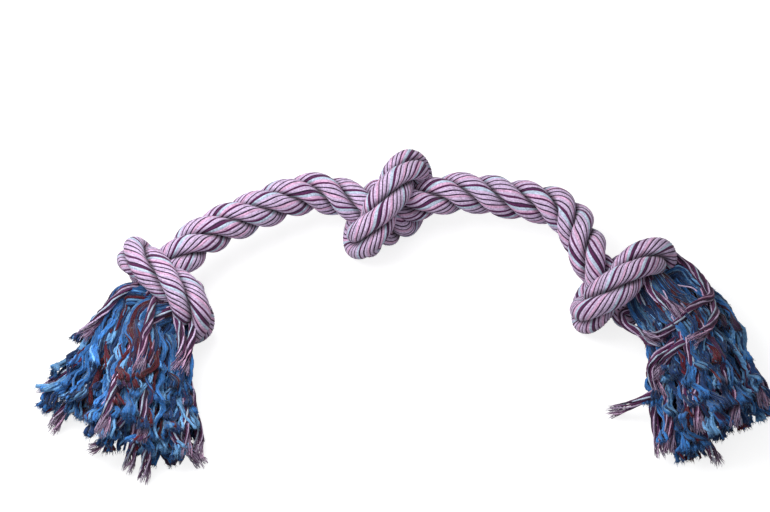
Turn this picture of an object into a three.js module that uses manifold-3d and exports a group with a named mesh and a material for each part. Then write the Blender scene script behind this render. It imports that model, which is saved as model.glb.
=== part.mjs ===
// A knotted rope dog toy, in millimetres, +Z up, lying on its resting plane at Z = 0.
// One three-strand rope runs from end to end through three overhand knots, and both of its ends
// are unlaid into tassels. Nine stiff runs of the rope turn on one another at the bends between the knots.
import * as THREE from 'three';
import { mergeVertices } from 'three/addons/utils/BufferGeometryUtils.js';
import Module from 'manifold-3d';

// Rope
const ropeDiameter = 25.4;       // where the rope runs free
const knotRopeDiameter = 17.4;   // where a knot squeezes it
const crossingGap = 0.8;         // clearance added between the rope's passes inside a knot
const squeezeRun = 22;           // run over which it narrows on its way into a knot
const layLength = 62;            // run in which a strand goes once round the rope
const knotLayLength = 84;        // the same inside a knot, where tying opens the lay
const strandGap = 0.4;           // clearance between neighbouring strands
const strandNames = ['a', 'b', 'c'];

// Half of an overhand knot's route, from the middle of its strap to the end of the rope that leaves it,
// in diameters of the squeezed rope and its clearance. The other half is this one turned half round the strap's middle.
const knotHalf = [
  [0, 0, 0.81], [0.37, 0.67, 0.72], [0.79, 1.18, 0.34], [0.96, 1.12, -0.84], [0.86, 0.36, -1.26],
  [0.43, -0.32, -1.17], [0.07, -0.64, -0.73], [-0.35, -0.39, -0.32], [-0.77, -0.09, -0.19],
];
const restFlat = 3.2;            // depth that a knot's underside is pressed flat
const passLength = 63.5;         // run of rope beyond which two places belong to different passes of a knot

// Where the left, middle and right knots lie: plan position, the way the rope runs through,
// and the lean of the strap to the front
const knotPlaces = [
  { at: [-138, -24.5], heading: 79, lean: 12 },
  { at: [2, 41.5], heading: 2, lean: 20 },
  { at: [151, -20], heading: -15, lean: 15 },
];

// Hand-chosen route of the rope outside the knots
const leftEnd = [[-148, -56, 21], [-144, -47, 25]];
const leftSpan = [[-129, -2, 33], [-117, 11, 34], [-88, 31, 32], [-45, 50, 30]];
const rightSpan = [[45, 50, 30], [79, 45, 31], [115, 32, 33], [131, -6, 33]];
const rightEnd = [[172, -31, 25], [178, -41, 21]];

// Bends between the stiff runs: each turns on a ball about a point of the rope's middle line
const bendBallRadius = 15.8;
const bendGap = 0.8;             // running clearance of every ball in its cup
const bendClear = 20;            // run of rope from a knot's route to the bend beside it
const tasselClear = 12;          // the same to the roots of a tassel's strand ends
const rootBallRadius = 7;
const rootRun = 9;               // run over which a strand end still follows the rope

// Tassels: each strand end parts into one core lock and two cover locks
const coreRootHalf = 3.4;
const sideCoreEnd = { halfWidth: 19, halfHeight: 9 };
const middleCoreEnd = { halfWidth: 19, halfHeight: 8 };
const coreSwell = 1.2;           // a core lock stays slim at its root and swells late
const coverRootRadius = 1.5;
const coverEndRadius = 2.6;
const coverGap = 0.5;            // clearance between a cover lock and the core lock under it
const coverReach = 9;            // how far a cover lock runs past the core lock

// Routes of the strand ends, and the places of their cover locks round the core, in degrees from its right side
const tasselEnds = {
  left: {
    a: { route: [[-133, -77, 22], [-129, -106, 14], [-125, -136, 8]], end: sideCoreEnd, covers: [50, 0] },
    b: { route: [[-149, -75, 35], [-154, -104, 31], [-158, -133, 26]], end: middleCoreEnd, covers: [60, 120] },
    c: { route: [[-165, -67, 22], [-180, -84, 14], [-196, -102, 8]], end: sideCoreEnd, covers: [130, 180] },
  },
  right: {
    a: { route: [[174, -62, 22], [177, -94, 14], [181, -131, 8]], end: sideCoreEnd, covers: [130, 180] },
    b: { route: [[187, -60, 36], [195, -93, 31], [200, -127, 26]], end: middleCoreEnd, covers: [60, 120] },
    c: { route: [[200, -51, 22], [212, -75, 14], [225, -104, 8]], end: sideCoreEnd, covers: [50, 0] },
  },
};

// Middle of the whole toy's box in plan, which becomes the origin
const planMiddle = [16.5, -31.8];

// Fineness of the faceted solids
const strandSides = 8;
const strandStep = 6;
const coreSides = 10;
const coverSides = 6;
const tasselStep = 10;
const gapStride = 3;             // between the points where the rope's clearance to itself is measured
const routeStations = 1200;
const stepsPerPoint = 40;        // between two points of the route
const crossingPasses = 40;       // halvings in the search for a place on a ball

const coverYarn = new THREE.MeshStandardMaterial({ color: 0xb39ac0, roughness: 0.9, metalness: 0 });
const coreYarn = new THREE.MeshStandardMaterial({ color: 0x2a6db8, roughness: 0.95, metalness: 0 });

const { degToRad, smoothstep, lerp, clamp } = THREE.MathUtils;
const wasm = await Module();
wasm.setup();
const up = new THREE.Vector3(0, 0, 1);
const knotUnit = knotRopeDiameter + crossingGap;

// A knot's own points, from the end where the rope comes in to the end where it leaves
function knotPoints({ at, heading, lean }) {
  const tilt = degToRad(lean);
  const turn = degToRad(heading);
  const front = new THREE.Vector3(0, -Math.sin(tilt), Math.cos(tilt));
  const rise = new THREE.Vector3(0, Math.cos(tilt), Math.sin(tilt));
  const along = new THREE.Vector3(Math.cos(turn), 0, 0).addScaledVector(rise, Math.sin(turn));
  const across = front.clone().cross(along);
  const place = ([x, y, z]) => new THREE.Vector3()
    .addScaledVector(along, x * knotUnit)
    .addScaledVector(across, y * knotUnit)
    .addScaledVector(front, z * knotUnit);
  const incoming = knotHalf.map(place).reverse();
  const leaving = knotHalf.slice(1).map(([x, y, z]) => place([-x, -y, z]));
  const points = [...incoming, ...leaving];
  const lowest = Math.min(...points.map((point) => point.z)) - knotRopeDiameter / 2;
  const stand = new THREE.Vector3(at[0], at[1], -lowest - restFlat);
  return points.map((point) => point.add(stand));
}

// The whole rope's middle line, and the stations along it where each knot begins and ends
const toVectors = (list) => list.map((point) => new THREE.Vector3(...point));
const runs = [
  toVectors(leftEnd), knotPoints(knotPlaces[0]), toVectors(leftSpan), knotPoints(knotPlaces[1]),
  toVectors(rightSpan), knotPoints(knotPlaces[2]), toVectors(rightEnd),
];
const routePoints = runs.flat();
const route = new THREE.CatmullRomCurve3(routePoints, false, 'centripetal');
route.arcLengthDivisions = stepsPerPoint * (routePoints.length - 1);
const pointLengths = route.getLengths();
const routeLength = route.getLength();
const frames = route.computeFrenetFrames(routeStations, false);
const middleLine = route.getSpacedPoints(routeStations);

const knots = knotPlaces.map((place, index) => {
  const before = runs.slice(0, 2 * index + 1).flat().length;
  const last = before + runs[2 * index + 1].length - 1;
  return { from: pointLengths[before * stepsPerPoint], to: pointLengths[last * stepsPerPoint] };
});

// How far a station lies inside a knot, from 0 in the free rope to 1 where the knot grips
function knotShare(station) {
  const shares = knots.map(({ from, to }) => smoothstep(station, from - squeezeRun, from)
    * (1 - smoothstep(station, to, to + squeezeRun)));
  return Math.max(...shares);
}

const ropeRadiusAt = (station) => lerp(ropeDiameter, knotRopeDiameter, knotShare(station)) / 2;

// The rope's place and cross directions at a station
function ropeFrame(station) {
  const position = clamp(station / routeLength, 0, 1) * routeStations;
  const index = Math.min(Math.floor(position), routeStations - 1);
  const share = position - index;
  const mix = (list) => list[index].clone().lerp(list[index + 1], share);
  return { point: mix(middleLine), normal: mix(frames.normals).normalize(),
    binormal: mix(frames.binormals).normalize(), tangent: mix(frames.tangents).normalize() };
}

// The lay: strands turn at one rate in the free rope and a slower one in knots, in all by an amount
// that brings strand b uppermost at both tassels
const leftRoot = knots[0].from - tasselClear;
const rightRoot = knots[2].to + tasselClear;
const turnRates = middleLine.map((point, index) => {
  const inside = knotShare((index / routeStations) * routeLength);
  return lerp(1 / layLength, 1 / knotLayLength, inside) * (routeLength / routeStations);
});
let turned = 0;
const turns = turnRates.map((rate) => (turned += rate));

function turnsAt(station) {
  const position = clamp(station / routeLength, 0, 1) * routeStations;
  const index = Math.min(Math.floor(position), routeStations - 1);
  return lerp(turns[index], turns[index + 1], position - index);
}

function upAngle(station) {
  const { normal, binormal } = ropeFrame(station);
  return Math.atan2(up.dot(binormal), up.dot(normal));
}

const wholeTurn = 2 * Math.PI;
const offTurn = (upAngle(rightRoot) - upAngle(leftRoot)) / wholeTurn;
const looseTurns = turnsAt(rightRoot) - turnsAt(leftRoot);
const fittedTurns = Math.round(looseTurns - offTurn) + offTurn;

function strandAngle(strand, station) {
  const share = (turnsAt(station) - turnsAt(leftRoot)) / looseTurns;
  const third = strandNames.indexOf(strand) - 1;
  return upAngle(leftRoot) + wholeTurn * (share * fittedTurns - third / strandNames.length);
}

// Three equal strands fill the rope: each is an ellipse, wider along the rope's skin because it lies on the slant
function strandSection(station) {
  const radius = ropeRadiusAt(station);
  const slant = Math.hypot(1, (wholeTurn * radius) / (2 * layLength));
  const half = Math.PI / strandNames.length;
  const reach = Math.hypot(Math.sin(half), slant * Math.cos(half));
  const radial = (Math.sin(half) * radius - strandGap / 2) / (Math.sin(half) + reach);
  return { radial, sideways: slant * radial, offset: radius - radial };
}

// A point of a strand's skin, or of its middle where no angle is given
function strandPoint(strand, station, angle) {
  const { point, normal, binormal } = ropeFrame(station);
  const turn = strandAngle(strand, station);
  const outward = normal.clone().multiplyScalar(Math.cos(turn)).addScaledVector(binormal, Math.sin(turn));
  const sideways = binormal.clone().multiplyScalar(Math.cos(turn)).addScaledVector(normal, -Math.sin(turn));
  const section = strandSection(station);
  if (angle === undefined) return point.addScaledVector(outward, section.offset);
  return point.addScaledVector(outward, section.offset + section.radial * Math.cos(angle))
    .addScaledVector(sideways, section.sideways * Math.sin(angle));
}

// The station at which one line of a tube's skin crosses a ball
function crossing(skin, angle, ball) {
  let inside = ball.station;
  let outside = ball.station + ball.side * 2 * ball.radius;
  for (let pass = 0; pass < crossingPasses; pass += 1) {
    const middle = (inside + outside) / 2;
    if (skin(middle, angle).distanceTo(ball.centre) < ball.radius) inside = middle;
    else outside = middle;
  }
  return inside;
}

// A closed tube round a moving section; an end is flat at a station or lies on a ball
function tube(skin, start, end, sides, step) {
  const angles = Array.from({ length: sides }, (_, side) => ((side + 0.5) / sides) * wholeTurn);
  const endStations = (limit) => angles.map((angle) => (limit.ball ? crossing(skin, angle, limit.ball) : limit.station));
  const first = endStations(start);
  const last = endStations(end);
  const rings = Math.max(2, Math.round((last[0] - first[0]) / step));
  const vertices = [];
  for (let ring = 0; ring <= rings; ring += 1) {
    angles.forEach((angle, side) => vertices.push(skin(lerp(first[side], last[side], ring / rings), angle)));
  }
  const capMiddle = (from, limit) => {
    const middle = new THREE.Vector3();
    vertices.slice(from, from + sides).forEach((vertex) => middle.addScaledVector(vertex, 1 / sides));
    if (!limit.ball) return middle;
    return middle.sub(limit.ball.centre).setLength(limit.ball.radius).add(limit.ball.centre);
  };
  const startMiddle = vertices.length;
  vertices.push(capMiddle(0, start), capMiddle(rings * sides, end));
  const faces = [];
  for (let side = 0; side < sides; side += 1) {
    const next = (side + 1) % sides;
    for (let ring = 0; ring < rings; ring += 1) {
      const low = ring * sides;
      const high = low + sides;
      faces.push(low + side, low + next, high + next, low + side, high + next, high + side);
    }
    faces.push(startMiddle, next, side, startMiddle + 1, rings * sides + side, rings * sides + next);
  }
  const geometry = new THREE.BufferGeometry();
  geometry.setAttribute('position', new THREE.Float32BufferAttribute(vertices.flatMap((v) => v.toArray()), 3));
  geometry.setIndex(faces);
  return geometry;
}

// Flattening against the resting plane
function solidOf(geometry) {
  const bare = geometry.clone();
  bare.deleteAttribute('normal');
  bare.deleteAttribute('uv');
  const merged = mergeVertices(bare);
  const vertProperties = merged.attributes.position.array;
  const triVerts = new Uint32Array(merged.index.array);
  return new wasm.Manifold(new wasm.Mesh({ numProp: 3, vertProperties, triVerts }));
}

function pressFlat(geometry) {
  geometry.computeBoundingBox();
  const { min, max } = geometry.boundingBox;
  if (min.z >= 0) return geometry;
  const size = max.clone().sub(min).addScalar(ropeDiameter);
  const below = new THREE.BoxGeometry(size.x, size.y, size.z);
  below.translate((min.x + max.x) / 2, (min.y + max.y) / 2, -size.z / 2);
  const mesh = solidOf(geometry).subtract(solidOf(below)).getMesh();
  const flat = new THREE.BufferGeometry();
  flat.setAttribute('position', new THREE.Float32BufferAttribute(mesh.vertProperties, 3));
  flat.setIndex([...mesh.triVerts]);
  return flat;
}

const toy = new THREE.Group();
toy.position.set(-planMiddle[0], -planMiddle[1], 0);

function addPiece(name, geometry, material) {
  const flat = pressFlat(geometry);
  flat.computeVertexNormals();
  const mesh = new THREE.Mesh(flat, material);
  mesh.name = name;
  toy.add(mesh);
}

// Bends along the rope, each with its ball on the side of the knot that it is nearer
function spanBends(from, to) {
  const link = (to - from - 2 * bendBallRadius) / 3;
  return [{ station: from, side: 1 }, { station: from + link, side: 1 },
    { station: to - link, side: -1 }, { station: to, side: -1 }];
}

const bends = [
  ...spanBends(knots[0].to + bendClear, knots[1].from - bendClear),
  ...spanBends(knots[1].to + bendClear, knots[2].from - bendClear),
].map((bend) => ({ ...bend, centre: ropeFrame(bend.station).point }));

const bendEnd = (bend) => ({ ball: { ...bend, radius: bendBallRadius + (bend.side > 0 ? 0 : bendGap) } });
const bendStart = (bend) => ({ ball: { ...bend, radius: bendBallRadius + (bend.side > 0 ? bendGap : 0) } });

function rootBall(strand, station, side, radius) {
  return { ball: { station, side, radius, centre: strandPoint(strand, station) } };
}

// The stiff runs of the rope, in order from left to right
const stiffRuns = ['left_knot', 'left_span_outer', 'left_span_middle', 'left_span_inner', 'middle_knot',
  'right_span_inner', 'right_span_middle', 'right_span_outer', 'right_knot'];
stiffRuns.forEach((name, index) => {
  strandNames.forEach((strand) => {
    const start = index === 0 ? rootBall(strand, leftRoot, -1, rootBallRadius) : bendStart(bends[index - 1]);
    const end = index === bends.length ? rootBall(strand, rightRoot, 1, rootBallRadius) : bendEnd(bends[index]);
    const skin = (station, angle) => strandPoint(strand, station, angle);
    addPiece(`${name}_strand_${strand}`, tube(skin, start, end, strandSides, strandStep), coverYarn);
  });
});

// A strand end of a tassel: the core lock swells towards its cut end, and two cover locks lie along it
function strandEnd(tassel, strand, { route: points, end, covers }) {
  const root = tassel === 'left' ? leftRoot : rightRoot;
  const hinge = strandPoint(strand, root);
  const outward = ropeFrame(root).tangent.multiplyScalar(tassel === 'left' ? -rootRun : rootRun);
  const linePoints = [hinge, hinge.clone().add(outward), ...toVectors(points)];
  const line = new THREE.CatmullRomCurve3(linePoints, false, 'centripetal');
  const length = line.getLength();
  const coreLength = length - coverReach;
  const cross = (station) => {
    const share = clamp(station / length, 0, 1);
    const tangent = line.getTangentAt(share);
    const right = up.clone().cross(tangent).normalize();
    return { point: line.getPointAt(share), right, over: tangent.clone().cross(right) };
  };
  const coreHalf = (station, endHalf) => {
    const share = clamp(station / coreLength, 0, 1);
    return lerp(coreRootHalf, endHalf, share ** coreSwell);
  };
  const around = ({ point, right, over }, x, y) => point.addScaledVector(right, x).addScaledVector(over, y);
  const coreSkin = (station, angle) => around(cross(station),
    coreHalf(station, end.halfWidth) * Math.cos(angle), coreHalf(station, end.halfHeight) * Math.sin(angle));
  const start = { ball: { station: 0, side: 1, centre: hinge, radius: rootBallRadius + bendGap } };
  const base = `${tassel}_tassel_${strand}`;
  addPiece(`${base}_core`, tube(coreSkin, start, { station: coreLength }, coreSides, tasselStep), coreYarn);
  covers.forEach((degrees, index) => {
    const place = degToRad(degrees);
    const coverSkin = (station, angle) => {
      const radius = lerp(coverRootRadius, coverEndRadius, clamp(station / length, 0, 1));
      const away = radius + coverGap;
      const x = (coreHalf(station, end.halfWidth) + away) * Math.cos(place) + radius * Math.cos(angle);
      const y = (coreHalf(station, end.halfHeight) + away) * Math.sin(place) + radius * Math.sin(angle);
      return around(cross(station), x, y);
    };
    const geometry = tube(coverSkin, start, { station: length }, coverSides, tasselStep);
    addPiece(`${base}_cover_${index + 1}`, geometry, coverYarn);
  });
}

Object.entries(tasselEnds).forEach(([tassel, ends]) => {
  Object.entries(ends).forEach(([strand, details]) => strandEnd(tassel, strand, details));
});

// The least clearance that the rope keeps to itself where it crosses inside the knots
function leastRopeGap() {
  let least = Infinity;
  for (let one = 0; one < routeLength; one += gapStride) {
    for (let other = one + passLength; other < routeLength; other += gapStride) {
      const distance = ropeFrame(one).point.distanceTo(ropeFrame(other).point);
      least = Math.min(least, distance - ropeRadiusAt(one) - ropeRadiusAt(other));
    }
  }
  return least;
}
console.log(`least gap of the rope to itself ${leastRopeGap().toFixed(2)} mm, rope ${routeLength.toFixed(0)} mm long`);

// Places that the bends and the strand ends turn about, in the toy's own frame
const placed = (point) => point.clone().add(toy.position).toArray();
toy.userData.bends = bends.map(({ centre }) => placed(centre));
toy.userData.bendTangents = bends.map(({ station }) => ropeFrame(station).tangent.toArray());
toy.userData.roots = Object.fromEntries(strandNames.map((strand) => [strand, {
  left: placed(strandPoint(strand, leftRoot)), right: placed(strandPoint(strand, rightRoot)) }]));

export default toy;
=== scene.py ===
"""A knotted rope dog toy: one three-strand rope with three overhand knots and two unlaid tassels.

Every length is in metres, in the frame of the toy's solids, with +Z up and the toy lying on Z = 0.
"""
import math

import bpy
import numpy as np
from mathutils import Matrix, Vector


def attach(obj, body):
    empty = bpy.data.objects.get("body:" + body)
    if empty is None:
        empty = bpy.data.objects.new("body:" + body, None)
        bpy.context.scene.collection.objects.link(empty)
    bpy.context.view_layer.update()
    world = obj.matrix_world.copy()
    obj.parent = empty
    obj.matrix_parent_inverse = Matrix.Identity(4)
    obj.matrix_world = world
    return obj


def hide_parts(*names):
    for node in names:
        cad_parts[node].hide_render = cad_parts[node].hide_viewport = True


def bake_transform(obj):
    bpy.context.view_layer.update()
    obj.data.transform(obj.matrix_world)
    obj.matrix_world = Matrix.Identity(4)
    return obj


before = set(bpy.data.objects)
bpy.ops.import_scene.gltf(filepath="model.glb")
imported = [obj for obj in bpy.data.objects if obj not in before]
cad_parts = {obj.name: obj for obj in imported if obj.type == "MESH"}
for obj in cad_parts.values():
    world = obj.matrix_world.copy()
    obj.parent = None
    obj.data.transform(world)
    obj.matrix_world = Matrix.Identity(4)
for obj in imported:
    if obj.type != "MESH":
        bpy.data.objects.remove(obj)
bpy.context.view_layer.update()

bl_info = {
    "name": "Knotted Rope Dog Toy",
    "version": (1, 0, 0),
    "blender": (4, 5, 0),
    "location": "3D View > Sidebar > Rope Toy",
    "description": "Lays the yarns of a knotted rope dog toy round its solids",
    "category": "Add Mesh",
}

# The rope's route, as the solids have it, before the toy's middle is moved to the origin
STRANDS = ("a", "b", "c")
PLAN_MIDDLE = (0.0165, -0.0318, 0.0)
KNOT_UNIT = 0.0182               # between the middles of two passes of the rope in a knot
KNOT_LOWEST = 0.0055             # height of the lowest place of the middle line in a knot
# Points of half a knot, in knot units, from its middle to its end
KNOT_HALF = (
    (0, 0, 0.81), (0.37, 0.67, 0.72), (0.79, 1.18, 0.34), (0.96, 1.12, -0.84), (0.86, 0.36, -1.26),
    (0.43, -0.32, -1.17), (0.07, -0.64, -0.73), (-0.35, -0.39, -0.32), (-0.77, -0.09, -0.19),
)
KNOT_PLACES = (
    {"at": (-0.138, -0.0245), "heading": 79, "lean": 12},
    {"at": (0.002, 0.0415), "heading": 2, "lean": 20},
    {"at": (0.151, -0.020), "heading": -15, "lean": 15},
)
LEFT_END = ((-0.148, -0.056, 0.021), (-0.144, -0.047, 0.025))
LEFT_SPAN = ((-0.129, -0.002, 0.033), (-0.117, 0.011, 0.034), (-0.088, 0.031, 0.032), (-0.045, 0.050, 0.030))
RIGHT_SPAN = ((0.045, 0.050, 0.030), (0.079, 0.045, 0.031), (0.115, 0.032, 0.033), (0.131, -0.006, 0.033))
RIGHT_END = ((0.172, -0.031, 0.025), (0.178, -0.041, 0.021))
SQUEEZE_RUN = 0.022              # over which the rope thins as it enters a knot
BEND_CLEAR = 0.020               # from a knot to the nearest bend
BEND_BALL = 0.0158               # radius of the solids' round ends at a bend
BEND_HALF = 0.0085               # half of the run over which a bend is spread
SPAN_LINKS = 3                   # lengths of rope between the bends of a span
BENDS_PER_SPAN = SPAN_LINKS + 1
TASSEL_CLEAR = 0.012             # from a knot to the root of its tassel
STUB_CUT = 0.020                 # from a tassel's root to the ends of the laid strands, inside the knot
BODIES_IN_ORDER = (
    "left_knot", "left_span_outer", "left_span_middle", "left_span_inner", "middle_knot",
    "right_span_inner", "right_span_middle", "right_span_outer", "right_knot",
)

# Strand ends of the tassels: the route past the root, the shift of the core yarns to the side at the root
# and at the tip, half the core's width and height at the tip, and the angles of the cover cords round it
STRAND_ENDS = {
    ("left", "a"): {
        "route": ((-0.133, -0.077, 0.022), (-0.129, -0.106, 0.014), (-0.125, -0.136, 0.008)),
        "fan": (0.004, -0.007), "yarn_width": 0.014, "half_height": 0.009, "covers": (50, 0)},
    ("left", "b"): {
        "route": ((-0.149, -0.075, 0.035), (-0.154, -0.104, 0.031), (-0.158, -0.133, 0.026)),
        "fan": (-0.003, 0.0), "yarn_width": 0.019, "half_height": 0.008, "covers": (60, 120)},
    ("left", "c"): {
        "route": ((-0.165, -0.067, 0.022), (-0.180, -0.084, 0.014), (-0.196, -0.102, 0.008)),
        "fan": (-0.018, 0.0), "yarn_width": 0.02, "half_height": 0.009, "covers": (130, 180)},
    ("right", "a"): {
        "route": ((0.174, -0.062, 0.022), (0.177, -0.094, 0.014), (0.181, -0.131, 0.008)),
        "fan": (-0.003, 0.006), "yarn_width": 0.015, "half_height": 0.009, "covers": (130, 180)},
    ("right", "b"): {
        "route": ((0.187, -0.060, 0.036), (0.195, -0.093, 0.031), (0.200, -0.127, 0.026)),
        "fan": (0.002, 0.002), "yarn_width": 0.019, "half_height": 0.008, "covers": (60, 120)},
    ("right", "c"): {
        "route": ((0.200, -0.051, 0.022), (0.212, -0.075, 0.014), (0.225, -0.104, 0.008)),
        "fan": (0.016, -0.004), "yarn_width": 0.018, "half_height": 0.009, "covers": (50, 0)},
}
CORE_ROOT_HALF = 0.0034          # half the ring that the cover cords lie on, at the root
CORE_END_HALF_WIDTH = 0.019      # and the most at the tip
CORE_SWELL = 1.2                 # how late the core swells towards its tip
COVER_GAP = 0.0005               # between a cover cord and that ring
COVER_REACH = 0.009              # of the cover cords past the core
CORD_OUTSIDE = 0.002             # of the cover cords' ring past the core yarns
ROOT_RUN = 0.009                 # straight run of a strand end from its root
HIDDEN_RUNS = (0.030, 0.022, 0.013)          # places inside the knot that a strand end comes from
FAN_BACK = 0.5                   # how far fanned yarns draw back, as a share of their shift
FAN_SHARES = (0.6, 0.25, 0.0)    # of the shift at the root, along the route
YARN_OVERHANG = 0.006            # of the core yarns past the route's last point
YARN_ROOT_HALVES = (0.0095, 0.0075)          # half the width and height of the core yarns at the root
YARN_EXTRA_HEIGHT = 0.0055       # of the core yarns over the solid core at the tip
YARN_GATHERED = 0.4              # share of that width and height inside the knot

# Cover cords that lie loose over the tassels, each with the strand end that it goes with
LOOSE_CORDS = {
    ("left", "a"): (
        ((-0.149, 0.004, 0.031), (-0.144, -0.006, 0.031), (-0.139, -0.013, 0.030), (-0.136, -0.021, 0.029),
         (-0.137, -0.031, 0.028), (-0.139, -0.042, 0.028), (-0.141, -0.055, 0.029)),
        ((-0.155, -0.000, 0.032), (-0.150, -0.008, 0.034), (-0.146, -0.018, 0.033), (-0.143, -0.028, 0.032),
         (-0.142, -0.041, 0.031), (-0.145, -0.054, 0.031)),
        ((-0.159, -0.079, 0.030), (-0.160, -0.093, 0.026), (-0.161, -0.106, 0.017),
         (-0.163, -0.115, 0.004)),
        ((-0.155, -0.076, 0.022), (-0.148, -0.091, 0.024), (-0.140, -0.100, 0.018),
         (-0.129, -0.104, 0.004)),
    ),
    ("left", "b"): (
        ((-0.158, 0.002, 0.034), (-0.161, -0.012, 0.040), (-0.162, -0.028, 0.044), (-0.164, -0.042, 0.047),
         (-0.164, -0.054, 0.047), (-0.166, -0.065, 0.046)),
        ((-0.178, -0.058, 0.039), (-0.181, -0.078, 0.044), (-0.183, -0.093, 0.045),
         (-0.185, -0.106, 0.044)),
        ((-0.171, -0.082, 0.038), (-0.176, -0.094, 0.035), (-0.184, -0.097, 0.024),
         (-0.196, -0.095, 0.004)),
        ((-0.167, -0.088, 0.039), (-0.168, -0.095, 0.028), (-0.170, -0.102, 0.016),
         (-0.173, -0.108, 0.004)),
    ),
    ("left", "c"): (
        ((-0.172, 0.008, 0.031), (-0.179, 0.004, 0.033), (-0.185, -0.003, 0.034), (-0.192, -0.015, 0.035),
         (-0.198, -0.025, 0.035), (-0.203, -0.031, 0.034)),
        ((-0.194, -0.045, 0.021), (-0.203, -0.062, 0.022), (-0.212, -0.070, 0.017),
         (-0.221, -0.080, 0.004)),
    ),
    ("right", "a"): (
        ((0.140, -0.003, 0.023), (0.132, -0.009, 0.024), (0.134, -0.018, 0.026), (0.141, -0.024, 0.028),
         (0.148, -0.032, 0.031), (0.154, -0.035, 0.034)),
        ((0.168, -0.033, 0.040), (0.159, -0.040, 0.036), (0.151, -0.045, 0.032), (0.147, -0.052, 0.028),
         (0.150, -0.061, 0.024), (0.155, -0.068, 0.021)),
        ((0.163, -0.055, 0.020), (0.154, -0.062, 0.021), (0.145, -0.066, 0.018), (0.135, -0.068, 0.012),
         (0.124, -0.068, 0.004)),
    ),
    ("right", "b"): (
        ((0.146, 0.022, 0.029), (0.147, 0.011, 0.034), (0.150, -0.002, 0.039), (0.155, -0.010, 0.042),
         (0.160, -0.016, 0.045), (0.166, -0.024, 0.047)),
        ((0.166, 0.034, 0.029), (0.171, 0.029, 0.029), (0.177, 0.023, 0.030), (0.181, 0.015, 0.032),
         (0.185, 0.005, 0.035), (0.187, -0.004, 0.038), (0.180, -0.011, 0.042), (0.171, -0.020, 0.046),
         (0.165, -0.027, 0.045), (0.158, -0.031, 0.040), (0.151, -0.033, 0.035), (0.145, -0.028, 0.030)),
        ((0.179, -0.030, 0.040), (0.169, -0.039, 0.042), (0.161, -0.045, 0.040), (0.155, -0.050, 0.034),
         (0.150, -0.056, 0.026)),
        ((0.165, -0.054, 0.031), (0.166, -0.071, 0.035), (0.168, -0.083, 0.033), (0.173, -0.094, 0.026)),
        ((0.170, -0.080, 0.028), (0.175, -0.091, 0.025), (0.180, -0.100, 0.018), (0.187, -0.103, 0.004)),
    ),
    ("right", "c"): (
        ((0.183, 0.005, 0.030), (0.187, -0.007, 0.035), (0.188, -0.019, 0.040), (0.183, -0.031, 0.044),
         (0.177, -0.039, 0.047), (0.172, -0.045, 0.048)),
    ),
}

# Single cover yarns that lie loose over the tassels
LOOSE_YARNS = {
    ("right", "b"): (
        ((0.152, 0.028, 0.027), (0.154, 0.014, 0.034), (0.161, 0.007, 0.036), (0.170, 0.006, 0.034),
         (0.177, 0.005, 0.033), (0.182, -0.001, 0.032)),
        ((0.152, 0.023, 0.030), (0.153, 0.011, 0.036), (0.156, 0.001, 0.040), (0.159, -0.008, 0.041),
         (0.161, -0.018, 0.042), (0.160, -0.026, 0.041)),
    ),
    ("left", "b"): (
        ((-0.189, -0.084, 0.037), (-0.185, -0.081, 0.040), (-0.181, -0.075, 0.043), (-0.177, -0.072, 0.045),
         (-0.173, -0.071, 0.046), (-0.170, -0.076, 0.045), (-0.169, -0.082, 0.044)),
    ),
}
LOOSE_YARN_RADIUS = 0.0005

# Cover yarns round one strand, in order, with their widths in millimetres
COVER_YARNS = (
    ("plum", 1.7), ("pale_blue", 2.0), ("pink", 1.8), ("plum", 1.2), ("lilac", 2.1), ("dark_plum", 0.9),
    ("lilac", 2.0), ("dark_plum", 0.8), ("pink", 1.4), ("lilac", 1.8), ("dark_plum", 0.95), ("lilac", 1.9),
    ("plum", 1.6), ("pale_blue", 1.9), ("lilac", 1.6), ("dark_plum", 0.9), ("lilac", 2.2), ("dark_plum", 0.8),
    ("lilac", 2.0), ("dark_plum", 0.9), ("pink", 1.6), ("lilac", 1.7), ("plum", 1.3), ("lilac", 2.1),
    ("dark_plum", 0.9),
)
THIN_YARN = 1.0                          # width in millimetres below which a yarn lies flat
THIN_PROFILE = (0.0, 0.5)                # places of the vertices across a thin yarn
ROUND_PROFILE = (0.0, 0.2, 0.5, 0.8)     # and across a wider one
STRAND_SHIFT = 2.2                       # angle between the first yarns of neighbouring strands
# Small waves of the yarns: size as an angle, waves to a turn of the lay, waves round the strand, and hand
YARN_SWAYS = ((0.020, 1.3, 3, 1), (0.015, 2.1, 5, -1))
PAINTED_GROOVE_SHADE = 0.6                       # painted shade: how much darker the yarns are painted deep between the strands, where shade falls
PAINTED_GROOVE_EDGES = (-0.09, 0.42)             # of that painted shade, from -1 on the rope's skin to 1 at its middle
PASS_STEP = 0.003                        # between the places where the rope's passes are compared
PASS_APART = 0.040                       # run along the rope after which it is another pass

# Dyes of the yarns in a cover cord, and the dyes of the core yarns with their shares
CORD_YARNS = ("plum", "lilac", "dark_plum", "plum", "pink", "plum", "dark_plum", "lilac", "plum", "dark_plum",
              "pale_blue", "plum")
CORE_SHARES = (
    ("blue", 0.38), ("light_blue", 0.22), ("deep_blue", 0.25), ("maroon", 0.10), ("dark_plum", 0.05),
)
LOCK_DYED = 0.75                 # share of the core yarns that have their lock's dye
LOCK_SHADES = (0.55, 1.35)       # darkest and lightest lock
YARN_SHADES = (0.75, 1.25)       # darkest and lightest yarn in a lock
ROOT_SHADE_TIP_LIGHT = (0.6, 1.35)      # painted shade at the root of a core yarn, where the knot shades it, fading to painted light at its tip
SIDE_SHADES = (0.86, 1.1)        # darkest and lightest side of a yarn
CORD_SHADES = (0.65, 1.05)       # darkest and lightest yarn in a cover cord

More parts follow.
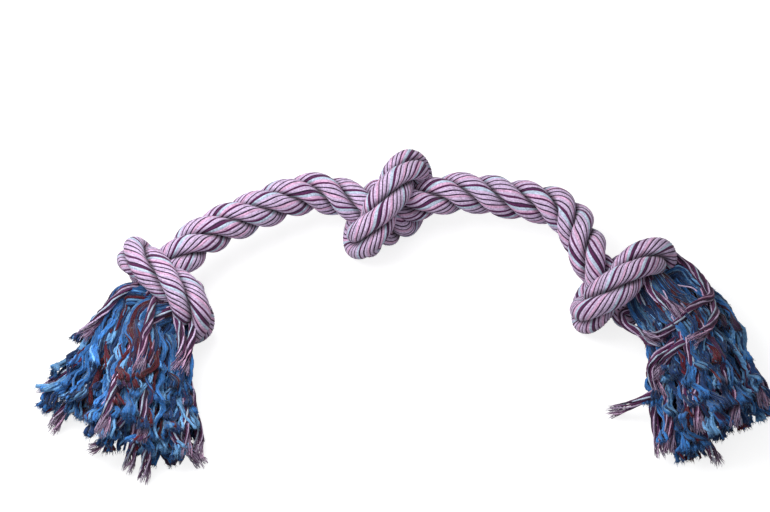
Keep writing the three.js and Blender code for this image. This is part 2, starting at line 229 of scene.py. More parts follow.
# Locks of core yarn in a strand end: inner ones fill it, and shorter top ones lie over them
INNER_LOCKS = {"place": (-0.2, 0.2), "out": 0.94, "reach": (0.84, 1.0), "curl_up": 0.0008, "thick": 1.0}
TOP_LOCKS = {"place": (0.3, 0.7), "out": (0.95, 1.08), "reach": (0.58, 0.97), "curl_up": 0.0045, "thick": 0.9}
GOLDEN_PART = 0.382              # of a turn, from one inner lock to the next
LOCK_FREE = (-0.004, 0.045)      # from the root, where a lock starts to hang free and where it is free
LOCK_DRIFT_WAVE = 0.055          # run of a lock's slow drift
LOCK_DRIFT = (0.0028, 0.0020)    # drift to the side and up
LOCK_WAVE_RUN = (0.018, 0.034)   # least and greatest run of a lock's own wave
LOCK_WAVE = (0.0004, 0.0018)     # least and greatest size of that wave
LOCK_RADII = (0.0012, 0.0026)    # at the root and at the tip
LOCK_FLATNESS = (0.45, 0.9)      # least and greatest height of a lock to its width
LOCK_TIP_RUN = 0.016             # over which a lock opens at its tip
LOCK_FLARE = 0.9                 # how much wider it is there
LOCK_LEAN = 0.0024               # how far a lock's tip leans
YARN_OUT = (0.02, 1.0)           # least and greatest square of a yarn's distance from its lock's middle
YARN_DRIFT_WAVE = 0.03           # run of a yarn's slow drift
YARN_DRIFT = 0.0003              # size of that drift in a lock
YARN_SPLAY = 0.0006              # how far a yarn's tip leans out of its lock
CRIMP_RUN = (0.0045, 0.0075)     # least and greatest run of a yarn's crimp
CRIMP_RATIO = 0.83               # of the crimp's waves up and down to those from side to side
CRIMP_SPREAD = (0.5, 1.2)        # least and greatest share of the crimp
YARN_SPREAD = (0.8, 1.2)         # thinnest and thickest yarn
YARN_SLUBS = (0.7, 1.3)          # thinnest and thickest place of a yarn
TIP_SWELL = 0.35                 # how much thicker a yarn's cut end is

# Short fibres that stand off the core yarns
FIBRE_AHEAD = 0.75               # how far a fibre points along its yarn
FIBRE_ASIDE = 0.45               # and aside
FIBRE_LENGTHS = (0.0012, 0.0032)
FIBRE_OUT = 0.6                  # share of the yarn's radius where a fibre starts
FIBRE_BACK = 0.0004              # how far behind its ring it starts
FIBRE_BOW = 0.0003
FIBRE_LOWEST = 0.0002
FIBRE_RADII = (0.00018, 0.00009)
FIBRE_LIGHT = 1.15               # how much lighter than its yarn it is

# Cover cords, and the threads of their frayed tips
CORD_START = 0.010               # place inside the knot where a cover cord starts
CORD_DRIFT_WAVE = 0.06           # run of a cover cord's slow drift
CORD_DRIFT = 0.0025              # size of that drift at the tip
CORD_JITTER = 0.1                # angle by which a cord's yarns are unevenly placed
CORD_YARN_OUT = 0.76             # distance of a yarn from the cord's middle, as a share of its radius
CORD_YARN_RADIUS = 0.24          # radius of a yarn, as a share of the cord's
CORD_YARN_DRIFT = 0.0004         # size of a yarn's drift in a cord
FRAY_RUN = 0.020                 # longest run over which a cord opens
FRAY_SHARE = 0.45                # most of a short cord that opens
FRAY_OPEN = 1.1                  # how much wider the yarns stand there
FRAY_SPREAD = (0.1, 1.0)         # least and greatest share of that
FRAY_THIN = 0.8                  # how much thinner the yarns are there
FRAY_REACH = 0.0046              # of the threads from the middle of the tip
THREAD_ASTRAY = 0.0008           # how far a thread strays
THREAD_ASTRAY_MOST = 0.0014
THREAD_AHEAD = 0.004             # how far a thread ends before or past its yarn
THREAD_ROOTS = (4, 8)            # rings back from the tip where threads start
THREAD_BOW = 0.3                 # of the way that it strays
THREAD_LOWEST = 0.0003
THREAD_RADII = (0.00026, 0.00014)
THREAD_LILAC = 0.4               # share of lilac in a thread's dye

# Finish of the yarns
YARN_ROUGHNESS = 0.88
YARN_GLOSS = 0.18
SHEEN_ROUGHNESS = 0.45
NOISE_LEVELS = (0.3, 0.7)        # of a noise, which become the darkest and the lightest shade
STREAKS_ALONG = 140.0            # fibre streaks in a metre of yarn
STREAK_DETAIL = 4.0
STREAK_SHADES = (0.66, 1.24)
PATCH_SCALE = 900.0              # faded patches in a metre
PATCH_DETAIL = 5.0
PATCH_SHADES = (0.72, 1.24)
TWIST_UNEVEN = 1.5               # how crooked the twist lines are
TWIST_SHARE = 0.4                # of the twist lines in the relief, beside the streaks
RELIEF_STRENGTH = 0.5
RELIEF_HEIGHT = 0.0003

# Stage
KEY_LAMP = {"place": (-0.24, 0.02, 0.48), "size": 0.35}
FILL_LAMP = {"place": (-0.7, -0.8, 0.9), "size": 1.2}
LAMP_AIM = (0.0, 0.0, 0.02)
SENSOR_WIDTH = 36.0              # in millimetres
LOOKED_AT = (0.0, 0.0, 0.030)    # by the camera, before the toy's middle is moved to the origin
CAMERA_ELEVATION = 55            # in degrees
CAMERA_DISTANCE = 1.5
FLOOR_HALF = 6.0
FLOOR_ROUGHNESS = 0.9
WHITE = (1, 1, 1, 1)

# Fineness of the meshes, and the seeds of what is random
STEPS_PER_POINT = 40
AHEAD_STEP = 0.001               # to each side of a place, for the direction of a line there
ROPE_STATIONS = 1200
RING_STEP = 0.0015               # between the rings of a strand or a loose yarn
LEAST_STRAND_RINGS = 3
FLAT_ROWS = (0.01, 0.99)         # of a tube's first and last ring on the flat map
CORE_RINGS = 58
CORE_SIDES = 5
CORE_CAP = 0.4                   # height of a core yarn's rounded end, in ring steps
FIBRES_PER_YARN = 7
FIBRES_PER_TIP = 6
FIBRE_RINGS = 3
FIBRE_SIDES = 3
CORD_POINTS = 9
CORD_STEP = 0.0022               # between the rings of a cord
LEAST_CORD_RINGS = 24
CORD_SIDES = 8
CORD_CAP = 0.5                   # height of a cover yarn's rounded end, in ring steps
YARN_RIDGE = 0.06                # height of a cover yarn's ridges, as a share of its radius
RIDGE_RUN = 0.02                 # in which a yarn's sides turn by one radian
LOOSE_YARN_SIDES = 6
THREADS_PER_YARN = 5
THREAD_RINGS = 6
THREAD_SIDES = 4
WANDER_PARTS = ((1.0, 0.6), (0.57, 0.4), (0.31, 0.25))       # share of the run and size of each part
WANDER_STRETCH = (0.8, 1.25)
SIDE_NUDGE = 1e-6                # keeps a side for a line that stands upright
CORD_SEED = 300
CORE_SEED = 100
UP = np.array((0.0, 0.0, 1.0))
WHOLE_TURN = 2 * math.pi


def linear(code):
    """A colour written as six hexadecimal digits, as linear light by the sRGB formula."""
    parts = [int(code[place:place + 2], 16) / 255 for place in (0, 2, 4)]
    return tuple(part / 12.92 if part <= 0.04045 else ((part + 0.055) / 1.055) ** 2.4 for part in parts)


def length_property(name, text, default):
    return bpy.props.FloatProperty(
        name=name, description=text, default=default, min=0.0, unit="LENGTH", precision=4)


def colour_property(name, text, code):
    return bpy.props.FloatVectorProperty(
        name=name, description=text, default=linear(code), min=0.0, max=1.0, size=3, subtype="COLOR")


def number_property(name, text, default, subtype="NONE"):
    return bpy.props.FloatProperty(name=name, description=text, default=default, subtype=subtype)


def count_property(name, text, default, least=1):
    return bpy.props.IntProperty(name=name, description=text, default=default, min=least)


class RopeSizes(bpy.types.PropertyGroup):
    """Sizes of the laid rope"""
    rope_diameter: length_property("Rope", "Diameter of the rope where it runs free", 0.0264)
    knot_rope_diameter: length_property("Rope in knots", "Diameter of the rope in a knot", 0.0250)
    lay_length: length_property("Lay", "Run in which a strand goes once round the rope", 0.062)
    knot_lay_length: length_property("Lay in knots", "The same run inside a knot", 0.084)
    strand_gap: length_property("Strand gap", "Clearance between neighbouring strands", 0.0001)
    yarn_bulge: length_property("Yarn bulge", "How far a cover yarn stands out of the strand", 0.00016)
    yarn_groove: length_property("Yarn groove", "How deep the groove between two cover yarns is", 0.00024)
    strand_twist: number_property("Strand twist", "Turns of a strand's yarns in a lay, against it", 0.95)
    knot_strand_twist: number_property("Strand twist in knots", "The same turns inside a knot", 2.0)


class TasselSizes(bpy.types.PropertyGroup):
    """Sizes of the unlaid ends"""
    locks: count_property("Locks", "Locks of core yarn in one strand end", 28)
    top_locks: count_property("Top locks", "Shorter locks that lie over the others", 20, least=0)
    lock_yarns: count_property("Yarns", "Core yarns in one lock", 9)
    core_yarn_root: length_property("Core yarn at root", "Radius of a core yarn at the knot", 0.00056)
    core_yarn_tip: length_property("Core yarn at tip", "Radius of a core yarn at its cut end", 0.00076)
    crimp: length_property("Crimp", "How far a core yarn waves to each side", 0.00032)
    lock_twist: length_property("Lock twist", "Run in which a lock of core yarns turns once", 0.052)
    cord_radius: length_property("Cover cord", "Radius of a twisted cord of cover yarns", 0.0026)
    cord_twist: length_property("Cord twist", "Run in which a cover cord turns once", 0.062)


class YarnColours(bpy.types.PropertyGroup):
    """Dyes of the yarns"""
    lilac: colour_property("Lilac", "Most of the cover yarns", "D6BEE0")
    pink: colour_property("Pink", "Pink cover yarns", "E2B4D8")
    pale_blue: colour_property("Pale blue", "Pale blue cover yarns", "C4D2E8")
    plum: colour_property("Plum", "Wide dark cover yarns", "5C2C55")
    dark_plum: colour_property("Dark plum", "Thin dark cover yarns", "3A2340")
    blue: colour_property("Blue", "Most of the core yarns", "336AA8")
    light_blue: colour_property("Light blue", "Paler core yarns", "6698C6")
    deep_blue: colour_property("Deep blue", "Darker core yarns", "1A3158")
    maroon: colour_property("Maroon", "Maroon core yarns", "501624")


class StageSettings(bpy.types.PropertyGroup):
    """Floor, light and camera"""
    floor_colour: colour_property("Floor", "Colour of the floor", "A8A8AA")
    floor_glow: number_property("Floor glow", "Whiteness that the camera sees besides the light", 0.80)
    sky_strength: number_property("Sky", "Strength of the soft light all round", 0.40)
    key_power: number_property("Key", "Power of the main lamp", 2.4, "POWER")
    fill_power: number_property("Fill", "Power of the second lamp", 2.6, "POWER")
    lens: number_property("Lens", "Focal length of the camera", 110.4, "DISTANCE_CAMERA")


def unit(vectors):
    return vectors / np.linalg.norm(vectors, axis=-1, keepdims=True)


def smoothstep(values, low, high):
    share = np.clip((values - low) / (high - low), 0, 1)
    return share * share * (3 - 2 * share)


def mix(first, last, share):
    return first + (last - first) * share


def bowed(share):
    """The shape of a bow: 0 at both ends and 1 midway."""
    return share * (1 - share) * 4


class Line:
    """A smooth line through given points, read by the run along it."""

    def __init__(self, points):
        points = np.asarray(points, float)
        padded = np.vstack([2 * points[0] - points[1], points, 2 * points[-1] - points[-2]])
        share = np.linspace(0, 1, STEPS_PER_POINT, endpoint=False)[:, None]
        stretches = []
        for before, first, last, after in zip(padded, padded[1:], padded[2:], padded[3:]):
            pairs = ((before, first), (first, last), (last, after))
            gaps = [math.sqrt(np.linalg.norm(end - start)) for start, end in pairs]
            leave = (first - before) / gaps[0] - (last - before) / (gaps[0] + gaps[1])
            leave = leave * gaps[1] + (last - first)
            reach = (after - last) / gaps[2] - (after - first) / (gaps[1] + gaps[2])
            reach = reach * gaps[1] + (last - first)
            bend = 3 * (last - first) - 2 * leave - reach
            twist = 2 * (first - last) + leave + reach
            stretches.append(first + share * leave + share ** 2 * bend + share ** 3 * twist)
        self.points = np.vstack([*stretches, points[-1:]])
        steps = np.linalg.norm(np.diff(self.points, axis=0), axis=1)
        self.runs = np.concatenate([[0], np.cumsum(steps)])
        self.length = self.runs[-1]

    def at(self, runs):
        return np.stack([np.interp(runs, self.runs, axis) for axis in self.points.T], axis=-1)

    def ahead(self, runs):
        low = np.clip(runs - AHEAD_STEP, 0, self.length)
        high = np.clip(runs + AHEAD_STEP, 0, self.length)
        return unit(self.at(high) - self.at(low))



def knot_points(place):
    """The points of one overhand knot, from the end where the rope comes in to the end where it leaves."""
    lean = math.radians(place["lean"])
    heading = math.radians(place["heading"])
    front = np.array((0, -math.sin(lean), math.cos(lean)))
    rise = np.array((0, math.cos(lean), math.sin(lean)))
    along = np.array((math.cos(heading), 0, 0)) + math.sin(heading) * rise
    axes = np.array((along, np.cross(front, along), front)) * KNOT_UNIT
    half = np.array(KNOT_HALF, float)
    points = np.vstack([half[::-1], half[1:] * (-1, -1, 1)]) @ axes
    return points + (*place["at"], KNOT_LOWEST - points[:, 2].min())


class Rope:
    """The rope's middle line, cross directions and lay, read by the run along it."""

    def __init__(self, sizes):
        self.sizes = sizes
        knots = [knot_points(place) for place in KNOT_PLACES]
        stretches = [LEFT_END, knots[0], LEFT_SPAN, knots[1], RIGHT_SPAN, knots[2], RIGHT_END]
        self.line = Line(np.vstack(stretches) - PLAN_MIDDLE)
        firsts = np.cumsum([0] + [len(stretch) for stretch in stretches])
        marks = self.line.runs[::STEPS_PER_POINT]
        self.knots = [(marks[firsts[place]], marks[firsts[place + 1] - 1])
                      for place in range(1, len(stretches), 2)]
        self.runs = np.linspace(0, self.line.length, ROPE_STATIONS + 1)
        ahead = self.line.ahead(self.runs)
        normals = [unit(np.cross(ahead[0], UP))]
        for direction in ahead[1:]:
            normals.append(unit(normals[-1] - direction * (normals[-1] @ direction)))
        self.normals = np.array(normals)
        self.binormals = np.cross(ahead, self.normals)
        self.roots = {"left": self.knots[0][0] - TASSEL_CLEAR, "right": self.knots[2][1] + TASSEL_CLEAR}
        rates = mix(1 / sizes.lay_length, 1 / sizes.knot_lay_length, self.knot_share(self.runs))
        self.turns = np.cumsum(rates) * (self.runs[1] - self.runs[0])
        twists = 1 + mix(sizes.strand_twist, sizes.knot_strand_twist, self.knot_share(self.runs))
        self.yarn_turns = np.cumsum(rates * twists) * (self.runs[1] - self.runs[0])
        left, right = self.roots["left"], self.roots["right"]
        self.start_angle = self.up_angle(left)
        off = (self.up_angle(right) - self.start_angle) / WHOLE_TURN
        loose = self.loose_turns(right) - self.loose_turns(left)
        self.fit = (round(loose - off) + off) / loose

    def knot_share(self, runs):
        """How far a place lies inside a knot: 0 in the free rope, 1 where the knot grips."""
        shares = []
        for first, last in self.knots:
            entered = smoothstep(runs, first - SQUEEZE_RUN, first)
            left = smoothstep(runs, last, last + SQUEEZE_RUN)
            shares.append(entered * (1 - left))
        return np.max(shares, axis=0)

    def frame(self, runs):
        normal, binormal = (unit(np.stack([np.interp(runs, self.runs, axis) for axis in table.T], axis=-1))
                            for table in (self.normals, self.binormals))
        return self.line.at(runs), normal, binormal

    def up_angle(self, run):
        _, normal, binormal = self.frame(run)
        return math.atan2(binormal @ UP, normal @ UP)

    def loose_turns(self, runs):
        return np.interp(runs, self.runs, self.turns)

    def lay_turns(self, runs):
        """Turns of the lay since the left tassel."""
        return (self.loose_turns(runs) - self.loose_turns(self.roots["left"])) * self.fit

    def radius(self, runs):
        return mix(self.sizes.rope_diameter, self.sizes.knot_rope_diameter, self.knot_share(runs)) / 2

    def section(self, runs):
        """Half sizes of a strand out of the rope and along its skin, and its distance from the middle."""
        radius = self.radius(runs)
        slant = np.hypot(1, WHOLE_TURN * radius / (2 * self.sizes.lay_length))
        half = math.pi / len(STRANDS)
        reach = np.hypot(math.sin(half), slant * math.cos(half))
        radial = (math.sin(half) * radius - self.sizes.strand_gap / 2) / (math.sin(half) + reach)
        return radial, slant * radial, radius - radial

    def strand_frame(self, strand, runs):
        """A strand's middle, and the directions out of the rope and along its skin there."""
        middle, normal, binormal = self.frame(runs)
        third = STRANDS.index(strand) - 1
        angle = self.start_angle + WHOLE_TURN * (self.lay_turns(runs) - third / len(STRANDS))
        cosine, sine = np.cos(angle)[..., None], np.sin(angle)[..., None]
        outward = normal * cosine + binormal * sine
        sideways = binormal * cosine - normal * sine
        offset = self.section(runs)[2]
        return middle + outward * offset[..., None], outward, sideways

    def bends(self):
        """Runs of the bends, from left to right."""
        places = []
        for knot, following in zip(self.knots, self.knots[1:]):
            first, last = knot[1] + BEND_CLEAR, following[0] - BEND_CLEAR
            link = (last - first - 2 * BEND_BALL) / SPAN_LINKS
            places += [first, first + link, last - link, last]
        return places


def cross_directions(lines):
    """Two directions across each of many lines, carried along them without twist."""
    ahead = unit(np.gradient(lines, axis=1))
    side = np.empty_like(lines)
    side[:, 0] = unit(np.cross(UP, ahead[:, 0]) + SIDE_NUDGE)
    for place in range(lines.shape[1]):
        last = side[:, max(place - 1, 0)]
        along = (last * ahead[:, place]).sum(-1, keepdims=True)
        side[:, place] = unit(last - along * ahead[:, place])
    return side, np.cross(ahead, side)


def wander(rng, count, runs, wave):
    """Smooth random drift for many lines, about -1 to 1."""
    drift = np.zeros((count, len(runs)))
    for part, weight in WANDER_PARTS:
        phase = rng.uniform(0, WHOLE_TURN, (count, 1))
        stretch = rng.uniform(*WANDER_STRETCH, (count, 1))
        drift += weight * np.sin(WHOLE_TURN * runs / (wave * part) * stretch + phase)
    return drift


class TubeGroup:
    """Closed tubes with the same number of rings and sides, with a colour for each ring and side."""

    def __init__(self, rings, colours, cap=0.0):
        self.rings = rings
        self.colours = np.broadcast_to(colours, rings.shape)
        self.runs = np.zeros(rings.shape[:2])
        middles = rings.mean(axis=2)
        self.runs[:, 1:] = np.cumsum(np.linalg.norm(np.diff(middles, axis=1), axis=2), axis=1)
        self.start = middles[:, 0] + cap * (middles[:, 0] - middles[:, 1])
        self.end = middles[:, -1] + cap * (middles[:, -1] - middles[:, -2])

    def vertices(self):
        return np.vstack([self.rings.reshape(-1, 3), self.start, self.end])

    def faces(self, base):
        """Corners and sizes of the faces along the tubes and of those that close their ends."""
        count, rings, sides, _ = self.rings.shape
        index = base + np.arange(count * rings * sides).reshape(count, rings, sides)
        following = np.roll(index, -1, axis=2)
        along = np.stack([index[:, :-1], following[:, :-1], following[:, 1:], index[:, 1:]], axis=-1)
        starts = np.broadcast_to((base + index.size + np.arange(count))[:, None], (count, sides))
        first_caps = np.stack([starts, following[:, 0], index[:, 0]], axis=-1)
        last_caps = np.stack([starts + count, index[:, -1], following[:, -1]], axis=-1)
        tables = (along, first_caps, last_caps)
        corners = np.concatenate([table.ravel() for table in tables])
        sizes = np.concatenate([np.full(table[..., 0].size, table.shape[-1]) for table in tables])
        return corners, sizes

    def corner_colours(self):
        """A colour for each corner of the faces."""
        paint = self.colours
        along = np.stack([paint[:, :-1], paint[:, :-1], paint[:, 1:], paint[:, 1:]], axis=3)
        caps = [np.repeat(paint[:, ring].reshape(-1, 3), 3, axis=0) for ring in (0, -1)]
        return np.vstack([along.reshape(-1, 3), *caps])

    def corner_map(self, runs, across, tips):
        """Flat places of the faces' corners, from the rings' runs, the sides' places and the tips' runs."""
        count, rings, sides, _ = self.rings.shape
        left, right = across[:, :-1], across[:, 1:]
        low, high = runs[:, :-1, None], runs[:, 1:, None]
        shape = (count, rings - 1, sides)
        along_runs = [np.broadcast_to(part, shape) for part in (low, low, high, high)]
        along_lanes = [np.broadcast_to(part[:, None], shape) for part in (left, right, right, left)]
        tables = [(along_runs, along_lanes)]
        for ring, tip, rim_lanes in ((0, tips[0], (right, left)), (-1, tips[1], (left, right))):
            rim = np.broadcast_to(runs[:, ring, None], (count, sides))
            cap_runs = [np.broadcast_to(tip, (count, sides)), rim, rim]
            tables.append((cap_runs, [(left + right) / 2, *rim_lanes]))
        return np.vstack([np.stack([np.stack(part, -1) for part in table], -1).reshape(-1, 2)
                          for table in tables])

    def yarn_map(self):
        """Corners in metres along and round each tube."""
        girth = np.linalg.norm(self.rings - np.roll(self.rings, -1, axis=2), axis=-1).mean(axis=1)
        around = np.concatenate([np.zeros((len(girth), 1)), np.cumsum(girth, axis=1)], axis=1)
        return self.corner_map(self.runs, around, (self.runs[:, :1], self.runs[:, -1:]))

    def flat_map(self, lane, lanes):
        """Corners laid out flat, with a lane for each tube."""
        count, rings, sides, _ = self.rings.shape
        rows = np.broadcast_to(np.linspace(*FLAT_ROWS, rings), (count, rings))
        across = (lane + np.arange(count)[:, None] + np.arange(sides + 1) / sides) / lanes
        return self.corner_map(rows, across, (0.0, 1.0))

    def tip_normals(self):
        """Directions in which the points that close the tubes face."""
        return np.vstack([unit(self.start - self.rings[:, 1].mean(axis=1)),
                          unit(self.end - self.rings[:, -2].mean(axis=1))])


def mesh_of_tubes(name, groups, material):
    """A piece of many tubes, with the yarns' colours and two maps: Yarn in metres, OFBake laid out flat."""
    corners, sizes, flat_map = [], [], []
    base, lane = 0, 0
    lanes = sum(len(group.rings) for group in groups)
    for group in groups:
        group_corners, group_sizes = group.faces(base)
        corners.append(group_corners)
        sizes.append(group_sizes)
        flat_map.append(group.flat_map(lane, lanes))
        base += len(group.vertices())
        lane += len(group.rings)
    links = np.concatenate(corners)
    totals = np.concatenate(sizes)
    mesh = bpy.data.meshes.new(name)
    mesh.vertices.add(base)
    mesh.vertices.foreach_set("co", np.vstack([group.vertices() for group in groups]).ravel())
    mesh.loops.add(len(links))
    mesh.loops.foreach_set("vertex_index", links)
    mesh.polygons.add(len(totals))
    mesh.polygons.foreach_set("loop_start", np.concatenate([[0], np.cumsum(totals)[:-1]]))
    mesh.update(calc_edges=True)
    mesh.shade_smooth()
    paint = mesh.color_attributes.new("yarn_colour", "FLOAT_COLOR", "CORNER")
    colours = np.vstack([group.corner_colours() for group in groups])
    paint.data.foreach_set("color", np.concatenate([colours, np.ones((len(links), 1))], axis=1).ravel())
    yarn_map = [group.yarn_map() for group in groups]
    for title, table in (("Yarn", yarn_map), ("OFBake", flat_map)):
        mesh.uv_layers.new(name=title).uv.foreach_set("vector", np.vstack(table).ravel())
    return piece_of(mesh, material)


def piece_of(mesh, material):
    """The piece that shows a mesh, named like it."""
    mesh.materials.append(material)
    piece = bpy.data.objects.new(mesh.name, mesh)
    bpy.context.scene.collection.objects.link(piece)
    return piece


def join_inputs(tree, node, inputs):
    """Links each input of a shader node to a socket, or sets it to a value."""
    for key, value in inputs.items():
        if isinstance(value, bpy.types.NodeSocket):
            tree.links.new(value, node.inputs[key])
        else:
            node.inputs[key].default_value = value


def add_node(tree, kind, inputs, **settings):
    """A new shader node with its inputs joined and its settings made."""
    node = tree.nodes.new(kind)
    for key, value in settings.items():
        setattr(node, key, value)
    join_inputs(tree, node, inputs)
    return node


def stretched(tree, chart, scale):
    """A map drawn out along its two axes."""
    mapping = add_node(tree, "ShaderNodeMapping", {"Vector": chart, "Scale": scale})
    return mapping.outputs["Vector"]


def noise(tree, vector, scale, detail):
    texture = add_node(tree, "ShaderNodeTexNoise", {"Vector": vector, "Scale": scale, "Detail": detail})
    return texture.outputs["Fac"]


def shaded(tree, colour, pattern, shades):
    """A colour made darker and lighter by a pattern."""
    levels = add_node(tree, "ShaderNodeMapRange", {
        "Value": pattern,
        "From Min": NOISE_LEVELS[0],
        "From Max": NOISE_LEVELS[1],
        "To Min": shades[0],
        "To Max": shades[1],
    })
    factor = levels.outputs["Result"]
    scaled = add_node(tree, "ShaderNodeVectorMath", {0: colour, "Scale": factor}, operation="SCALE")
    return scaled.outputs["Vector"]


def yarn_material(name, streaks, fuzz, twist_run):
    """Dyed cotton yarn, with fibre streaks, faded patches, twist lines and a soft sheen."""
    material = bpy.data.materials.get(name)
    if material:
        return material
    material = bpy.data.materials.new(name)
    material.use_nodes = True
    tree = material.node_tree
    dye = add_node(tree, "ShaderNodeVertexColor", {}, layer_name="yarn_colour").outputs["Color"]
    chart = add_node(tree, "ShaderNodeUVMap", {}, uv_map="Yarn").outputs["UV"]
    place = add_node(tree, "ShaderNodeTexCoord", {}).outputs["Object"]
    fibres = noise(tree, stretched(tree, chart, (STREAKS_ALONG, streaks, 1.0)), 1.0, STREAK_DETAIL)
    patches = noise(tree, place, PATCH_SCALE, PATCH_DETAIL)
    streaked = shaded(tree, dye, fibres, STREAK_SHADES)
    twist_chart = stretched(tree, chart, (1 / twist_run, 1 / twist_run, 1.0))
    twist = add_node(tree, "ShaderNodeTexWave", {
        "Vector": twist_chart,
        "Scale": 1.0,
        "Distortion": TWIST_UNEVEN,
    }, bands_direction="DIAGONAL")
    relief = add_node(tree, "ShaderNodeMath", {
        0: twist.outputs["Fac"],
        1: TWIST_SHARE,
        2: fibres,
    }, operation="MULTIPLY_ADD")
    bump = add_node(tree, "ShaderNodeBump", {
        "Strength": RELIEF_STRENGTH,
        "Distance": RELIEF_HEIGHT,
        "Height": relief.outputs["Value"],
    })
    join_inputs(tree, tree.nodes["Principled BSDF"], {
        "Base Color": shaded(tree, streaked, patches, PATCH_SHADES),
        "Roughness": YARN_ROUGHNESS,
        "Specular IOR Level": YARN_GLOSS,
        "Sheen Weight": fuzz,
        "Sheen Roughness": SHEEN_ROUGHNESS,
        "Normal": bump.outputs["Normal"],
    })
    return material


def cover_yarn():
    return yarn_material("cover yarn", streaks=1400.0, fuzz=0.18, twist_run=0.0016)


def core_yarn():
    return yarn_material("fluffy core yarn", streaks=3200.0, fuzz=0.3, twist_run=0.003)


def dyes(context):
    """The yarns' colours by name."""
    return {key: np.array(getattr(context.scene.rope_toy_colours, key))
            for key in YarnColours.__annotations__}


def strand_profile(sizes, colours):
    """Angles, heights and face colours of the vertices round one strand."""
    total = sum(width for _, width in COVER_YARNS)
    angles, heights, faces = [], [], []
    reached = 0.0
    for key, width in COVER_YARNS:
        thin = width < THIN_YARN
        shares = THIN_PROFILE if thin else ROUND_PROFILE
        lift = 0.0 if thin else sizes.yarn_bulge
        for share in shares:
            angles.append((reached + share * width) / total * WHOLE_TURN)
            heights.append(lift - (sizes.yarn_groove + lift) * abs(2 * share - 1) ** 2)
            faces.append(colours[key])
        reached += width
    return np.array(angles), np.array(heights), np.array(faces)


def press_passes(rope, runs, rings):
    """Flattens the rope where its passes lie against each other in a knot, and where it lies on the floor."""
    others = np.arange(0, rope.line.length, PASS_STEP)
    other_points, other_radii = rope.line.at(others), rope.radius(others)
    points, radii = rope.line.at(runs), rope.radius(runs)
    for place, run in enumerate(runs):
        away = other_points - points[place]
        distance = np.linalg.norm(away, axis=1)
        near = (np.abs(others - run) > PASS_APART) & (distance < radii[place] + other_radii)
        for other in np.flatnonzero(near):
            normal = away[other] / distance[other]
            limit = distance[other] * radii[place] / (radii[place] + other_radii[other])
            over = (rings[place] - points[place]) @ normal - limit
            rings[place] -= np.clip(over, 0, None)[:, None] * normal
    np.clip(rings[..., 2], 0.0, None, out=rings[..., 2])


def laid_strand(rope, strand, colours, first, last):
    """The tube of one strand over a run of the rope, with painted shade deep between the strands, and the
    normals of its rings.
    """
    runs = np.linspace(first, last, max(LEAST_STRAND_RINGS, round((last - first) / RING_STEP)))
    step = runs[1] - runs[0]
    runs = np.concatenate([[first - step], runs, [last + step]])
    angles, heights, faces = strand_profile(rope.sizes, colours)
    turns = rope.lay_turns(runs)[:, None]
    shift = STRANDS.index(strand) * STRAND_SHIFT
    sway = sum(size * np.sin(WHOLE_TURN * turns * waves + waves_round * angles + hand * shift)
               for size, waves, waves_round, hand in YARN_SWAYS)
    twist = np.interp(runs, rope.runs, rope.yarn_turns)[:, None]
    around = angles + shift + sway - WHOLE_TURN * twist
    middle, outward, sideways = rope.strand_frame(strand, runs)
    radial, wide, _ = rope.section(runs)
    out = (radial[:, None] + heights) * np.cos(around)
    along = (wide[:, None] + heights) * np.sin(around)
    rings = middle[:, None] + out[..., None] * outward[:, None] + along[..., None] * sideways[:, None]
    press_passes(rope, runs, rings)
    ways_round = np.roll(rings, -1, axis=1) - np.roll(rings, 1, axis=1)
    normals = unit(np.cross(ways_round, np.gradient(rings, axis=0)))
    # painted shade: yarns that turn in between the strands are painted darker, where shade falls in the
    # grooves
    shade = 1 - PAINTED_GROOVE_SHADE * smoothstep(-np.cos(around), *PAINTED_GROOVE_EDGES)
    paint = faces * shade[..., None]
    return TubeGroup(rings[None, 1:-1], paint[None, 1:-1]), normals[1:-1].reshape(-1, 3)


def strand_piece(name, group, normals):
    """One laid strand, shaded smooth across its cuts."""
    piece = mesh_of_tubes(name, [group], cover_yarn())
    piece.data.normals_split_custom_set_from_vertices(np.vstack([normals, group.tip_normals()]))
    return piece


def rope_cuts(rope):
    """Runs at which the rope's pieces meet in each span: at the knots' ends and midway between bends."""
    bends = rope.bends()
    middles = [(one + other) / 2 for one, other in zip(bends, bends[1:])]
    left = [rope.knots[0][1], *middles[:SPAN_LINKS], rope.knots[1][0]]
    right = [rope.knots[1][1], *middles[BENDS_PER_SPAN:], rope.knots[2][0]]
    return left, right


class KnotStrands(bpy.types.Operator):
    """Lay the strands of the three knots"""
    bl_idname = "rope_toy.knot_strands"
    bl_label = "Knot Strands"

    def execute(self, context):
        rope = Rope(context.scene.rope_toy_rope)
        colours = dyes(context)
        ends = {"left_knot": (rope.roots["left"] + STUB_CUT, rope.knots[0][1]),
                "middle_knot": rope.knots[1],
                "right_knot": (rope.knots[2][0], rope.roots["right"] - STUB_CUT)}
        for knot, (first, last) in ends.items():
            for strand in STRANDS:
                group, normals = laid_strand(rope, strand, colours, first, last)
                piece = strand_piece(f"{knot}_laid_strand_{strand}", group, normals)
                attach(piece, knot)
                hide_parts(f"{knot}_strand_{strand}")
        return {"FINISHED"}


class BendStrands(bpy.types.Operator):
    """Lay the strands of the free rope, which bends between the knots"""
    bl_idname = "rope_toy.bend_strands"
    bl_label = "Bend Strands"

    def execute(self, context):
        rope = Rope(context.scene.rope_toy_rope)
        colours = dyes(context)
        spans = rope_cuts(rope)
        for number, bend in enumerate(rope.bends()):
            span, place = divmod(number, BENDS_PER_SPAN)
            side = ("left", "right")[span]
            first, last = spans[span][place:place + 2]
            before, after = BODIES_IN_ORDER[number:number + 2]
            start, end = rope.line.at(np.array([bend - BEND_HALF, bend + BEND_HALF]))
            for strand in STRANDS:
                group, normals = laid_strand(rope, strand, colours, first, last)
                piece = strand_piece(f"{side}_bend_{place + 1}_laid_strand_{strand}", group, normals)
                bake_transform(piece)
                if "span" in after:
                    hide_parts(f"{after}_strand_{strand}")
        return {"FINISHED"}


